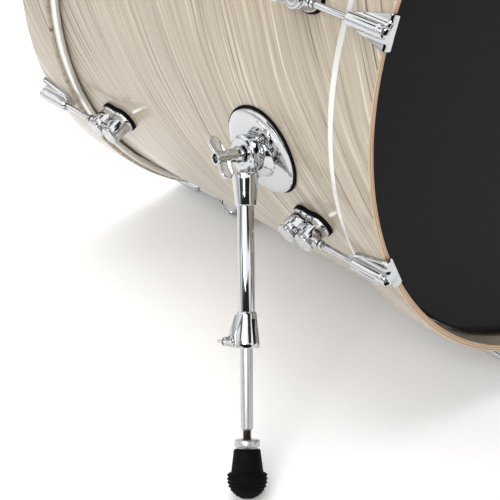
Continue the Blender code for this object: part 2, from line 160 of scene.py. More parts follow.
def lathe(profile, steps=40, wobble=None):
    """Turns (radius, height) points about Z; wobble(angle, height) is added to the radius."""
    bm = bmesh.new()
    rings = []
    for radius, height in profile:
        if radius < 1e-7:
            rings.append([bm.verts.new((0, 0, height))] * steps)
            continue
        ring = []
        for step in range(steps):
            angle = math.tau * step / steps
            reach = radius + (wobble(angle, height) if wobble else 0.0)
            ring.append(bm.verts.new((reach * math.cos(angle), reach * math.sin(angle), height)))
        rings.append(ring)
    pairs = list(zip(rings, rings[1:]))
    if profile[0][0] > 1e-7:
        pairs.append((rings[-1], rings[0]))
    for low, high in pairs:
        bridge(bm, low, high)
    return bm


def bridge(bm, low, high):
    """Joins two rings of corners with faces, skipping corners that coincide."""
    count = len(low)
    for step in range(count):
        following = (step + 1) % count
        corners = []
        for corner in (low[step], low[following], high[following], high[step]):
            if corner not in corners:
                corners.append(corner)
        if len(corners) > 2:
            bm.faces.new(corners)


def loft(rings):
    """Skins a list of closed rings of points and caps both ends."""
    bm = bmesh.new()
    made = [[bm.verts.new(point) for point in ring] for ring in rings]
    for low, high in zip(made, made[1:]):
        bridge(bm, low, high)
    bm.faces.new(made[0])
    bm.faces.new(made[-1])
    return bm


def prism(outline, low, high, bevel, segments=2):
    """Extrudes an (x, y) outline and rounds its sharp edges."""
    bm = loft([[(x, y, z) for x, y in outline] for z in (low, high)])
    return soften(bm, bevel, segments)


def soften(bm, bevel, segments=2):
    """Bevels every edge that turns more sharply than 30 degrees."""
    bmesh.ops.recalc_face_normals(bm, faces=bm.faces)
    sharp = [edge for edge in bm.edges if edge.calc_face_angle(0.0) > math.radians(30)]
    bmesh.ops.bevel(bm, geom=sharp, offset=bevel, segments=segments, profile=0.6,
                    affect="EDGES", clamp_overlap=True)
    return bm


def block(low, high, bevel, segments=2):
    """A box with rounded edges."""
    outline = [(low[0], low[1]), (high[0], low[1]), (high[0], high[1]), (low[0], high[1])]
    return prism(outline, low[2], high[2], bevel, segments)


def moved(bm, matrix):
    """Moves a shape by a matrix."""
    bm.transform(matrix)
    return bm


def shifted(bm, y=0.0, z=0.0):
    """Slides a shape."""
    return moved(bm, Matrix.Translation((0, y, z)))


def along_y(bm):
    """Lays a turned shape down, so that its height runs along +Y."""
    return moved(bm, Matrix.Rotation(-math.pi / 2, 4, "X"))


def rounded_bar(radius, low, high, bevel, steps=24):
    """A round bar along Z with softened ends."""
    return lathe(fillet([(0, low), (radius, low), (radius, high), (0, high)], bevel), steps)


def threaded_bar(radius, low, high, pitch, depth, steps=20):
    """A round bar along Z with ridges at a thread's pitch."""
    profile = [(0, low)]
    height = low
    while height < high - pitch:
        profile.append((radius - depth, height))
        profile.append((radius, height + pitch / 2))
        height += pitch
    profile += [(radius - depth, high), (0, high)]
    return lathe(profile, steps)


def mesh_of(name, parts):
    """Joins (shape, material index) pairs into one mesh with outward faces."""
    whole = bmesh.new()
    for shape, index in parts:
        bmesh.ops.remove_doubles(shape, verts=shape.verts, dist=1e-6)
        bmesh.ops.recalc_face_normals(shape, faces=shape.faces)
        for face in shape.faces:
            face.material_index = index
        piece = bpy.data.meshes.new("piece")
        shape.to_mesh(piece)
        shape.free()
        whole.from_mesh(piece)
        bpy.data.meshes.remove(piece)
    mesh = bpy.data.meshes.new(name)
    whole.to_mesh(mesh)
    whole.free()
    mesh.shade_smooth()
    mesh.set_sharp_from_angle(angle=math.radians(38.0))
    return mesh


def store_turn(mesh):
    """Keeps each corner's place on the drum: length around it, length along it, and radius."""
    data = mesh.attributes.new("turn", "FLOAT_VECTOR", "CORNER").data
    for face in mesh.polygons:
        middle = math.atan2(face.center.x, face.center.z)
        for loop in face.loop_indices:
            point = mesh.vertices[mesh.loops[loop].vertex_index].co
            radius = math.hypot(point.x, point.z)
            angle = math.atan2(point.x, point.z) if radius > 1e-6 else middle
            angle += math.tau * round((middle - angle) / math.tau)
            data[loop].vector = (angle * SHELL_RADIUS, point.y, radius)


def place(name, mesh, finishes, body, node, matrix):
    """Adds a mesh as a piece that rides on a body and stands for a CAD node."""
    piece = bpy.data.objects.new(name, mesh)
    bpy.context.scene.collection.objects.link(piece)
    if not mesh.materials:
        for finish in finishes:
            mesh.materials.append(finish)
    piece.matrix_world = matrix
    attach(piece, body)
    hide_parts(node)


# Materials.

class Nodes:
    """A short way to build a node tree around a Principled shader."""

    def __init__(self, name):
        self.material = bpy.data.materials.new(name)
        self.material.use_nodes = True
        self.tree = self.material.node_tree
        self.shader = self.tree.nodes["Principled BSDF"]

    def link(self, source, target):
        self.tree.links.new(source, target)

    def drive(self, socket, source):
        self.link(source, self.shader.inputs[socket])

    def set(self, **values):
        for key, value in values.items():
            self.shader.inputs[key.replace("_", " ")].default_value = value

    def add(self, kind, **settings):
        node = self.tree.nodes.new(kind)
        for key, value in settings.items():
            setattr(node, key, value)
        return node

    def coordinates(self, attribute=None):
        if attribute:
            return self.add("ShaderNodeAttribute", attribute_name=attribute).outputs["Vector"]
        return self.add("ShaderNodeTexCoord").outputs["Object"]

    def mapped(self, source, scale):
        node = self.add("ShaderNodeMapping")
        node.inputs["Scale"].default_value = scale
        self.link(source, node.inputs["Vector"])
        return node.outputs["Vector"]

    def noise(self, vector, scale, detail=4.0, roughness=0.55, distortion=0.0):
        node = self.add("ShaderNodeTexNoise")
        node.inputs["Scale"].default_value = scale
        node.inputs["Detail"].default_value = detail
        node.inputs["Roughness"].default_value = roughness
        node.inputs["Distortion"].default_value = distortion
        self.link(vector, node.inputs["Vector"])
        return node.outputs["Fac"]

    def ramp(self, factor, stops):
        node = self.add("ShaderNodeValToRGB")
        elements = node.color_ramp.elements
        while len(elements) < len(stops):
            elements.new(0.5)
        for element, (position, colour) in zip(elements, stops):
            element.position = position
            element.color = (*colour, 1.0)
        self.link(factor, node.inputs["Fac"])
        return node.outputs["Color"]

    def mix(self, factor, first, second, blend="MIX"):
        node = self.add("ShaderNodeMix", data_type="RGBA", blend_type=blend)
        for source, socket in ((factor, node.inputs[0]), (first, node.inputs[6]), (second, node.inputs[7])):
            if isinstance(source, bpy.types.NodeSocket):
                self.link(source, socket)
            elif isinstance(source, (int, float)):
                socket.default_value = source
            else:
                socket.default_value = (*source, 1.0)
        return node.outputs[2]

    def scaled(self, factor, low, high, start=0.0, end=1.0):
        node = self.add("ShaderNodeMapRange")
        node.inputs["From Min"].default_value = start
        node.inputs["From Max"].default_value = end
        node.inputs["To Min"].default_value = low
        node.inputs["To Max"].default_value = high
        self.link(factor, node.inputs["Value"])
        return node.outputs["Result"]

    def bump(self, height, distance, strength):
        node = self.add("ShaderNodeBump")
        node.inputs["Distance"].default_value = distance
        node.inputs["Strength"].default_value = strength
        self.link(height, node.inputs["Height"])
        self.link(node.outputs["Normal"], self.shader.inputs["Normal"])


def linear(*colour):
    """Turns an sRGB colour out of 255 into linear values."""
    return tuple((c / 255 / 12.92) if c < 11 else ((c / 255 + 0.055) / 1.055) ** 2.4 for c in colour)


def streak_colour(nodes):
    """The covering's streaks: long fibres that lean across the drum, in ivory and taupe."""
    place_on_drum = nodes.coordinates("turn")
    turned = nodes.add("ShaderNodeVectorRotate", rotation_type="Z_AXIS")
    turned.inputs["Angle"].default_value = -STREAK_LEAN
    nodes.link(place_on_drum, turned.inputs["Vector"])
    fibre = turned.outputs["Vector"]
    sway = nodes.noise(nodes.mapped(fibre, (3.0, 3.0, 0.0)), 1.0, 2.0)
    bent = nodes.add("ShaderNodeVectorMath", operation="MULTIPLY_ADD")
    nodes.link(sway, bent.inputs[0])
    bent.inputs[1].default_value = (0.0, 0.050, 0.0)
    nodes.link(fibre, bent.inputs[2])
    fibre = bent.outputs["Vector"]
    broad = nodes.noise(nodes.mapped(fibre, (2.2, 55.0, 0.0)), 1.0, 3.0, 0.6)
    medium = nodes.noise(nodes.mapped(fibre, (3.5, 190.0, 0.0)), 1.0, 4.0, 0.65)
    fine = nodes.noise(nodes.mapped(fibre, (6.0, 620.0, 0.0)), 1.0, 5.0, 0.7)
    lines = nodes.noise(nodes.mapped(fibre, (4.5, 330.0, 0.0)), 1.0, 2.0, 0.5)
    base = nodes.ramp(broad, [(0.30, linear(154, 142, 124)), (0.50, linear(181, 169, 152)),
                              (0.70, linear(200, 190, 174))])
    streaks = nodes.ramp(medium, [(0.32, linear(128, 114, 95)), (0.45, linear(172, 160, 142)),
                                  (0.57, linear(184, 173, 155)), (0.72, linear(236, 228, 214))])
    colour = nodes.mix(0.70, base, streaks)
    hair = nodes.ramp(fine, [(0.34, linear(90, 76, 58)), (0.45, linear(176, 164, 146)),
                             (0.58, linear(182, 170, 153)), (0.72, linear(244, 238, 226))])
    colour = nodes.mix(0.42, colour, hair)
    dark_lines = nodes.scaled(lines, 0.85, 0.0, 0.30, 0.42)
    colour = nodes.mix(dark_lines, colour, linear(84, 70, 54))
    bright_lines = nodes.scaled(lines, 0.0, 0.75, 0.62, 0.74)
    colour = nodes.mix(bright_lines, colour, linear(238, 232, 219))
    return nodes.mix(1.0, colour, (0.93, 0.92, 0.90), "MULTIPLY"), medium


def wrap_material():
    """The glossy plastic covering of the shell and hoops."""
    nodes = Nodes("wrap")
    colour, relief = streak_colour(nodes)
    nodes.drive("Base Color", colour)
    nodes.set(Roughness=0.38, Coat_Weight=0.55, Coat_Roughness=0.09)
    nodes.bump(relief, 0.00004, 0.6)
    return nodes.material


def ply_material():
    """Clear-coated maple plies, seen edge on across the hoop's thickness."""
    nodes = Nodes("maple_plies")
    turn = nodes.coordinates("turn")
    parts = nodes.add("ShaderNodeSeparateXYZ")
    nodes.link(turn, parts.inputs["Vector"])
    grain = nodes.noise(nodes.mapped(turn, (30.0, 400.0, 400.0)), 1.0, 5.0, 0.6)
    depth = nodes.scaled(parts.outputs["Z"], 0.0, float(HOOP_PLIES), HOOP_INNER, HOOP_OUTER)
    waver = nodes.scaled(nodes.noise(nodes.mapped(turn, (25.0, 25.0, 25.0)), 1.0, 3.0), -0.12, 0.12)
    total = nodes.add("ShaderNodeMath", operation="ADD")
    nodes.link(depth, total.inputs[0])
    nodes.link(waver, total.inputs[1])
    layer = nodes.add("ShaderNodeMath", operation="PINGPONG")
    nodes.link(total.outputs[0], layer.inputs[0])
    layer.inputs[1].default_value = 1.0
    plies = nodes.ramp(layer.outputs[0], [(0.0, linear(88, 52, 32)), (0.24, linear(148, 104, 72)),
                                          (0.50, linear(206, 180, 148)), (1.0, linear(198, 168, 134))])
    wood = nodes.ramp(grain, [(0.30, linear(160, 124, 90)), (0.55, linear(204, 176, 142)),
                              (0.75, linear(222, 200, 170))])
    colour = nodes.mix(0.30, plies, wood)
    nodes.drive("Base Color", colour)
    nodes.set(Roughness=0.42, Coat_Weight=0.25, Coat_Roughness=0.15)
    nodes.bump(grain, 0.00005, 0.5)
    return nodes.material


def shell_ply_material():
    """The shell's bare maple inside."""
    nodes = Nodes("shell_maple")
    turn = nodes.coordinates("turn")
    grain = nodes.noise(nodes.mapped(turn, (8.0, 160.0, 0.0)), 1.0, 6.0, 0.65, 0.4)
    colour = nodes.ramp(grain, [(0.25, linear(190, 150, 108)), (0.5, linear(222, 186, 146)),
                                (0.75, linear(238, 210, 176))])
    nodes.drive("Base Color", colour)
    nodes.set(Roughness=0.5)
    nodes.bump(grain, 0.00006, 0.5)
    return nodes.material


def chrome_material():
    """Polished plating with faint cloudiness and very shallow casting ripple."""
    nodes = Nodes("chrome")
    spot = nodes.coordinates()
    cloud = nodes.noise(spot, 90.0, 4.0)
    smear = nodes.noise(spot, 24.0, 2.0)
    nodes.drive("Roughness", nodes.scaled(cloud, 0.02, 0.05, 0.3, 0.7))
    tint = nodes.mix(smear, (0.521, 0.530, 0.539), (0.56, 0.57, 0.58))
    nodes.drive("Base Color", tint)
    nodes.set(Metallic=1.0)
    nodes.bump(smear, 0.00006, 0.25)
    return nodes.material


def steel_material(name="plated_steel", tones=((176, 176, 178), (208, 208, 210))):
    """Plated steel with fine lengthwise brushing: bright rods and lock nuts, or dull threads."""
    nodes = Nodes(name)
    spot = nodes.coordinates()
    brush = nodes.noise(nodes.mapped(spot, (900.0, 900.0, 14.0)), 1.0, 4.0)
    nodes.drive("Roughness", nodes.scaled(brush, 0.24, 0.42, 0.3, 0.7))
    nodes.drive("Base Color", nodes.mix(brush, linear(*tones[0]), linear(*tones[1])))
    nodes.set(Metallic=1.0)
    nodes.bump(brush, 0.00002, 0.5)
    return nodes.material


def flesh_hoop_material():
    """Satin aluminium with circumferential draw marks."""
    nodes = Nodes("flesh_hoop_aluminium")
    turn = nodes.coordinates("turn")
    marks = nodes.noise(nodes.mapped(turn, (10.0, 1500.0, 900.0)), 1.0, 4.0)
    nodes.drive("Roughness", nodes.scaled(marks, 0.24, 0.42, 0.3, 0.7))
    nodes.drive("Base Color", nodes.mix(marks, linear(222, 220, 216), linear(244, 243, 240)))
    nodes.set(Metallic=0.85)
    nodes.bump(marks, 0.00002, 0.6)
    return nodes.material


def black_film_material():
    """Glossy black drumhead film with the faintest cloudiness."""
    nodes = Nodes("black_film")
    spot = nodes.coordinates()
    cloud = nodes.noise(spot, 14.0, 4.0)
    grain = nodes.noise(spot, 900.0, 2.0)
    nodes.drive("Base Color", nodes.mix(cloud, linear(12, 12, 14), linear(16, 16, 18)))
    nodes.drive("Roughness", nodes.scaled(cloud, 0.12, 0.22, 0.3, 0.7))
    nodes.set(Specular_IOR_Level=0.09)
    nodes.bump(grain, 0.00002, 0.25)
    return nodes.material


def coated_film_material():
    """Rough sprayed white coating of the batter head."""
    nodes = Nodes("coated_film")
    spot = nodes.coordinates()
    speckle = nodes.noise(spot, 1400.0, 3.0, 0.7)
    cloud = nodes.noise(spot, 9.0, 4.0)
    nodes.drive("Base Color", nodes.mix(cloud, linear(226, 225, 220), linear(240, 239, 235)))
    nodes.drive("Roughness", nodes.scaled(speckle, 0.55, 0.80, 0.3, 0.7))
    nodes.bump(speckle, 0.00008, 0.7)
    return nodes.material


def rubber_material():
    """Matt moulded rubber with dusty high spots."""
    nodes = Nodes("black_rubber")
    spot = nodes.coordinates()
    grain = nodes.noise(spot, 1200.0, 4.0, 0.7)
    dust = nodes.noise(spot, 55.0, 5.0, 0.65)
    nodes.drive("Base Color", nodes.ramp(dust, [(0.35, linear(4, 4, 4)), (0.60, linear(7, 7, 7)),
                                                (0.80, linear(20, 19, 18))]))
    nodes.drive("Roughness", nodes.scaled(dust, 0.55, 0.80, 0.3, 0.7))
    nodes.set(Specular_IOR_Level=0.08)
    nodes.bump(grain, 0.00010, 0.6)
    return nodes.material


def floor_material():
    """A plain pale studio floor that glows faintly, like a light table."""
    nodes = Nodes("studio_floor")
    tone = nodes.noise(nodes.coordinates(), 1.5, 3.0)
    nodes.drive("Base Color", nodes.mix(tone, (0.86, 0.86, 0.86), (0.88, 0.88, 0.88)))
    nodes.set(Roughness=0.75, Emission_Color=(1.0, 1.0, 1.0, 1.0), Emission_Strength=0.12)
    return nodes.material


WRAP = wrap_material()
PLIES = ply_material()
SHELL_MAPLE = shell_ply_material()
CHROME = chrome_material()
STEEL = steel_material()
DULL_STEEL = steel_material("dull_steel_thread", ((98, 94, 88), (132, 127, 120)))
ALUMINIUM = flesh_hoop_material()
BLACK_FILM = black_film_material()
COATED_FILM = coated_film_material()
RUBBER = rubber_material()


# The drum's body, in the drum's own space.

ROUND = 288


def sort_faces(mesh, choose):
    """Gives each face the material index that choose(face) names."""
    for face in mesh.polygons:
        face.material_index = choose(face)


def face_radius(face):
    """How far a face's middle lies from the drum's axis."""
    return math.hypot(face.center.x, face.center.z)


def make_shell():
    """The ply tube: covering outside, bare maple inside and on the bearing edges."""
    front = (DRUM_LENGTH - SHELL_LENGTH) / 2
    back = front + SHELL_LENGTH
    inner = SHELL_RADIUS - SHELL_WALL
    edge = 0.0015
    crown = SHELL_RADIUS - edge
    slope = crown - inner
    sections = 24
    outside = [(SHELL_RADIUS, front + edge + (SHELL_LENGTH - 2 * edge) * step / sections)
               for step in range(sections + 1)]
    profile = outside + [(crown, back), (inner, back - slope), (inner, front + slope), (crown, front)]
    mesh = mesh_of("shell_shape", [(along_y(lathe(profile, ROUND)), 0)])
    sort_faces(mesh, lambda face: 0 if face_radius(face) > SHELL_RADIUS - 0.0004 else 1)
    store_turn(mesh)
    place("wrapped_shell", mesh, [WRAP, SHELL_MAPLE], "drum", "shell", DRUM)


def hoop_mesh():
    """A wood hoop: wrapped, but for the rounded clear-coated plies of its front edge."""
    corner = 0.0012
    outer = [(HOOP_OUTER - corner, 0), (HOOP_OUTER, corner), (HOOP_OUTER, HOOP_DEPTH - corner / 2),
             (HOOP_OUTER - corner / 2, HOOP_DEPTH)]
    inner = [(HOOP_INNER + corner / 2, HOOP_DEPTH), (HOOP_INNER, HOOP_DEPTH - corner / 2),
             (HOOP_INNER, corner), (HOOP_INNER + corner, 0)]
    profile = fillet(outer + inner, 0.0006, closed=True, arc=2)
    mesh = mesh_of("hoop_shape", [(along_y(lathe(profile, ROUND)), 0)])
    limit = HOOP_OUTER - 0.00035
    sort_faces(mesh, lambda face: 0 if face_radius(face) > limit or face.center.y > HOOP_DEPTH / 2 else 1)
    store_turn(mesh)
    return mesh


def film_mesh():
    """The film: flat, rolled over the bearing edge and down inside the hoop to the flesh hoop."""
    edge = (DRUM_LENGTH - SHELL_LENGTH) / 2
    top = edge - 0.0008
    rim = SHELL_RADIUS + 0.0014
    end = HOOP_DEPTH + 0.004
    upper = [(0, top), (0.12, top), (0.24, top), (rim - 0.005, top)]
    upper += fillet([(rim - 0.0045, top), (rim, top), (rim, edge + 0.006)], 0.0035, arc=5)[1:]
    lower = [(radius - 0.0005, height + 0.0004) for radius, height in upper[3:]]
    profile = upper + [(rim, end), (rim - 0.0005, end)] + lower[::-1] + [(0, top + 0.0004)]
    return mesh_of("film_shape", [(along_y(lathe(profile, ROUND)), 0)])


def flesh_hoop_mesh():
    """The rolled metal hoop that holds the film's edge, pressed by the wood hoop."""
    start = HOOP_DEPTH + 0.0003
    depth = 0.0095
    inner = SHELL_RADIUS + 0.0018
    outer = HOOP_INNER + 0.0032
    profile = fillet([(inner, start), (outer, start), (outer, start + depth), (inner, start + depth)],
                     0.0016, closed=True, arc=3)
    mesh = mesh_of("flesh_hoop_shape", [(along_y(lathe(profile, ROUND)), 0)])
    store_turn(mesh)
    return mesh


def make_ends():
    """Puts the hoop, film and flesh hoop on both ends."""
    hoop = hoop_mesh()
    flesh = flesh_hoop_mesh()
    turned = DRUM @ Matrix.Translation((0, DRUM_LENGTH, 0)) @ HALF_TURN
    ends = (("resonant", DRUM, BLACK_FILM, "film"), ("batter", turned, COATED_FILM, "coated_film"))
    for end, matrix, film, film_slot in ends:
        place(end + "_wood_hoop", hoop, [WRAP, PLIES], "drum", end + "_hoop", matrix)
        place(end + "_film", film_mesh(), [film], "drum", end + "_head", matrix)
        place(end + "_metal_hoop", flesh, [ALUMINIUM], "drum", end + "_flesh_hoop", matrix)


# Tension hardware, with x around the drum, y along it away from the hoop, and z outwards.

def peanut(half_length, half_width):
    """A waisted outline: two round ends along Y that pull in between them."""
    count = 40
    mean = (half_length + half_width) / 2
    swing = (half_length - half_width) / 2
    points = []
    for index in range(count):
        angle = math.tau * index / count
        reach = mean + swing * math.cos(2 * angle)
        points.append((-reach * math.sin(angle), reach * math.cos(angle)))
    return points


def tapered(outline_low, outline_high, low, high, bevel):
    """A straight-sided shape between two outlines with the same number of points."""
    bottom = [(x, y, low) for x, y in outline_low]
    top = [(x, y, high) for x, y in outline_high]
    return soften(loft([bottom, top]), bevel)


def turret(y):
    """A round post with a grooved, softly chamfered cap and a shallow ring on its top."""
    top = LUG_HEIGHT
    cap = 0.0050
    radius = TURRET_RADIUS
    profile = [(0, 0.0030), (radius + 0.0004, 0.0030), (radius, 0.0120), (radius - 0.0001, top - cap),
               (radius - 0.0009, top - cap + 0.0003), (radius - 0.0009, top - cap + 0.0010),
               (radius, top - cap + 0.0013), (radius, top - 0.0011), (radius - 0.0012, top),
               (radius - 0.0036, top), (radius - 0.0040, top - 0.0005), (radius - 0.0046, top - 0.0005),
               (radius - 0.0050, top - 0.0001), (0, top - 0.0001)]
    return shifted(lathe(fillet(profile, 0.0003, arc=2), 48), y=y)


def lug_mesh():
    """A whole lug: gasket, plate, waisted body, two posts, swivel nut and its seal."""
    near = -TURRET_SPACING / 2
    far = TURRET_SPACING / 2
    nut_end = NUT_END_Y - LUG_Y
    gasket = prism(peanut(0.0231, 0.0118), -0.0006, 0.0038, 0.0007)
    plate = tapered(peanut(0.0222, 0.0108), peanut(0.0214, 0.0100), 0.0034, 0.0062, 0.0006)
    body = tapered(peanut(0.0208, 0.0088), peanut(0.0200, 0.0078), 0.0050, 0.0188, 0.0006)
    nut = lathe(fillet([(0, nut_end + 0.0040), (0.0036, nut_end + 0.0040), (0.0044, nut_end + 0.0048),
                        (0.0044, near - 0.0112), (0.0052, near - 0.0110), (0.0052, near), (0, near)],
                       0.0004, arc=2), 32)
    seal = rounded_bar(0.0040, nut_end + 0.0024, nut_end + 0.0044, 0.0006, 32)
    tip = lathe(fillet([(0, nut_end), (0.0036, nut_end), (0.0042, nut_end + 0.0008),
                        (0.0042, nut_end + 0.0026), (0, nut_end + 0.0026)], 0.0003, arc=2), 32)
    parts = [(gasket, 1), (plate, 0), (body, 0), (turret(near), 0), (turret(far), 0)]
    parts += [(shifted(along_y(shape), z=ROD_CIRCLE - SHELL_RADIUS), index) for shape, index in
              ((nut, 0), (seal, 1), (tip, 0))]
    return mesh_of("lug_shape", parts)


def claw_section(width, crown, thickness):
    """The claw's outline across its width: a thin flange each side of a round ridge."""
    top = []
    steps = 32
    for index in range(steps + 1):
        across = -1 + 2 * index / steps
        x = across * width / 2
        swell = math.exp(-((x / 0.0064) ** 4))
        edge = 1 - 0.5 * max(0.0, (abs(across) - 0.92) / 0.08) ** 2
        top.append((x, thickness * edge + crown * swell))
    bottom = [(width / 2, 0.0), (0.0, 0.0), (-width / 2, 0.0)]
    return top + bottom


def claw_body():
    """The hook: a plate that widens forwards over the hoop and folds down its ply face."""
    rings = []
    thickness = 0.0028
    crown = ROD_CIRCLE - HOOP_OUTER - thickness
    for step in range(13):
        along = step / 12
        y = CLAW_REAR_Y + along * (CLAW_FRONT_Y * 0.25 - CLAW_REAR_Y)
        width = CLAW_REAR_WIDTH + (CLAW_FRONT_WIDTH - CLAW_REAR_WIDTH) * along ** 1.1
        rings.append([(x, y, 0.0003 + z) for x, z in claw_section(width, crown, thickness)])
    corner_y = CLAW_FRONT_Y * 0.25
    for step in range(1, 7):
        turn = math.pi / 2 * step / 6
        fade = 1 - step / 6
        ring = []
        for x, z in claw_section(CLAW_FRONT_WIDTH, crown * fade + 0.0006, thickness + 0.0004 * (1 - fade)):
            reach = z + 0.0003
            ring.append((x, corner_y - reach * math.sin(turn), reach * math.cos(turn)))
        rings.append(ring)
    for step in range(1, 6):
        along = step / 5
        width = CLAW_FRONT_WIDTH - 0.0014 * along ** 2
        rings.append([(x, corner_y - 0.0003 - z, -CLAW_LIP_DROP * along) for x, z in
                      claw_section(width, 0.0006 * (1 - along), thickness + 0.0004 - 0.0006 * along ** 4)])
    bm = loft(rings)
    bmesh.ops.recalc_face_normals(bm, faces=bm.faces)
    return bm


def claw_barrel():
    """The round housing over the rod, with a smaller nose that is open for the key."""
    outer = BARREL_RADIUS
    profile = [(0, CLAW_REAR_Y + 0.0004), (0.0046, CLAW_REAR_Y + 0.0004), (outer, CLAW_REAR_Y - 0.0020),
               (outer, 0.0014), (outer - 0.0004, -0.0002), (0.0057, -0.0008), (0.0057, -0.0044),
               (0.0052, -0.0050), (0.0047, -0.0050), (0.0043, -0.0045), (0.0043, 0.0012), (0, 0.0012)]
    return lathe(fillet(profile, 0.0005, arc=3), 40)


def claw_mesh():
    """A claw hook with its washer, square-headed tension rod and thread."""
    thread_start = NUT_END_Y - 0.0020
    thread = threaded_bar(ROD_RADIUS - 0.00005, thread_start - 0.0005, NUT_END_Y + 0.0006, 0.0009, 0.00035)
    head = block((-0.0025, -0.0025, -0.0030), (0.0025, 0.0025, 0.0014), 0.0005)
    turned = [(claw_barrel(), 0), (head, 1), (rounded_bar(0.0042, 0.0003, 0.0013, 0.0003), 1),
              (rounded_bar(ROD_RADIUS, CLAW_REAR_Y - 0.0040, thread_start, 0.0003), 0), (thread, 1)]
    parts = [(claw_body(), 0)]
    parts += [(shifted(along_y(shape), z=ROD_CIRCLE - HOOP_OUTER), index) for shape, index in turned]
    return mesh_of("claw_shape", parts)


def make_tension_hardware():
    """Puts the lugs and claws around both ends."""
    lug = lug_mesh()
    claw = claw_mesh()
    for index in range(LUGS_PER_HEAD):
        turn = DRUM @ Matrix.Rotation(math.tau * (index + 0.5) / LUGS_PER_HEAD + LUG_PHASE, 4, "Y")
        number = str(index + 1)
        places = (("resonant_", Matrix.Identity(4)),
                  ("batter_", Matrix.Translation((0, DRUM_LENGTH, 0)) @ HALF_TURN))
        for end, flip in places:
            seat = turn @ flip
            place(end + "cast_lug_" + number, lug, [CHROME, RUBBER], "drum",
                  end + "lug_" + number, seat @ Matrix.Translation((0, LUG_Y, SHELL_RADIUS)))
            place(end + "claw_hook_" + number, claw, [CHROME, DULL_STEEL], "drum",
                  end + "claw_" + number, seat @ Matrix.Translation((0, 0, HOOP_OUTER)))


# Spur brackets, with x around the drum, y along it and z outwards from the shell.

def flat_ring(radius, height):
    """A level ring of points."""
    count = 96
    angles = [math.tau * step / count for step in range(count)]
    return [(radius * math.cos(angle), radius * math.sin(angle), height) for angle in angles]


def ring_on_shell(radius, lift):
    """A ring of points that follows the shell's curve at a height above it."""
    return [(x, y, math.sqrt(SHELL_RADIUS ** 2 - x ** 2) - SHELL_RADIUS + z)
            for x, y, z in flat_ring(radius, lift)]


def bracket_gasket():
    """The rubber pad, curved to the shell on both sides and rounded at its rim."""
    section = [(0.010, 0.0), (0.030, 0.0), (GASKET_RADIUS - 0.0006, 0.0), (GASKET_RADIUS, 0.0005),
               (GASKET_RADIUS, 0.0015), (GASKET_RADIUS - 0.0006, 0.0020), (0.010, 0.0020)]
    return loft([ring_on_shell(radius, lift) for radius, lift in section])


def toothed_ring(low, high):
    """A ring whose rim carries fine teeth, as both faces of the hinge have."""
    profile = fillet([(0, low), (TEETH_RADIUS, low), (TEETH_RADIUS, high), (0, high)], 0.0003, arc=2)

    def notch(angle, _height):
        return -TOOTH_DEPTH * (0.5 - 0.5 * math.cos(TEETH * angle))

    return lathe(profile, TEETH * 4, notch)


def bracket_base():
    """The low domed disc, whose crisp rim reaches down to the curved gasket."""
    rings = [ring_on_shell(0.010, 0.0018), ring_on_shell(BRACKET_RADIUS - 0.0003, 0.0018),
             ring_on_shell(BRACKET_RADIUS, 0.0021)]
    dome = [(BRACKET_RADIUS, 0.0027), (BRACKET_RADIUS - 0.0003, 0.0031), (BRACKET_RADIUS - 0.0010, 0.0034),
            (0.0400, 0.0042), (0.0370, 0.0049), (0.0320, 0.0055), (0.0260, 0.0059), (0.0140, 0.0063)]
    return loft(rings + [flat_ring(radius, height) for radius, height in dome])


def bracket_boss():
    """The slanting neck: it flares into the base and ends in a toothed face."""
    profile = [(0, -0.0060), (0.0250, -0.0060), (0.0225, 0.0030), (0.0190, 0.0072),
               (0.0172, BOSS_END - 0.0032), (0.0150, BOSS_END - 0.0028), (0.0150, BOSS_END - 0.0022),
               (0, BOSS_END - 0.0022)]
    return lathe(fillet(profile, 0.0008, arc=3), 64)


def trimmed(bm, point, normal):
    """Cuts away what lies behind a plane and closes the cut."""
    geometry = bm.verts[:] + bm.edges[:] + bm.faces[:]
    bmesh.ops.bisect_plane(bm, geom=geometry, plane_co=point, plane_no=normal, clear_inner=True)
    bmesh.ops.holes_fill(bm, edges=[edge for edge in bm.edges if edge.is_boundary], sides=0)
    return bm


def wing_ear(height, reach, width, thickness):
    """A leaf-shaped, softly rounded ear of a wing screw, along +X."""
    points = [(0, height - width * 0.90), (reach * 0.30, height - width * 0.72),
              (reach * 0.65, height - width * 0.52)]
    for index in range(13):
        angle = -math.pi / 2 + math.pi * index / 12
        points.append((reach + 0.5 * width * math.cos(angle), height + 0.45 * width * math.sin(angle)))
    points += [(reach * 0.45, height + width * 0.36), (0, height + width * 0.30)]
    shape = prism(points, -thickness / 2, thickness / 2, 0.34 * thickness, 3)
    return moved(shape, Matrix.Rotation(math.pi / 2, 4, "X"))


def wing_screw_parts(shank_radius, shank_start, hub_start, hub_end, hub_radius, reach):
    """A screw along Z: shank, tapering hub with a round recess, and two ears."""
    length = hub_end - hub_start
    tip = 0.80 * hub_radius
    floor = hub_end - 0.3 * length
    profile = [(0, shank_start), (shank_radius, shank_start), (shank_radius, hub_start),
               (hub_radius, hub_start), (hub_radius, hub_start + 0.13 * length),
               (0.88 * hub_radius, hub_start + 0.20 * length),
               (0.76 * hub_radius, hub_start + 0.50 * length),
               (tip, hub_end - 0.10 * length), (tip, hub_end), (0.72 * tip, hub_end),
               (0.66 * tip, hub_end - 0.04 * length), (0.66 * tip, floor), (0, floor)]
    width = 0.50 * length
    middle = hub_end - 0.22 * length
    hub = lathe(fillet(profile, 0.06 * hub_radius + 0.0002, arc=3), 44)
    ear = wing_ear(middle, reach, width, 0.55 * hub_radius)
    ear = trimmed(ear, (0.85 * tip, 0, 0), (1, 0, 0))
    other = moved(ear.copy(), HALF_TURN)
    return [(hub, 0), (ear, 0), (other, 0)]


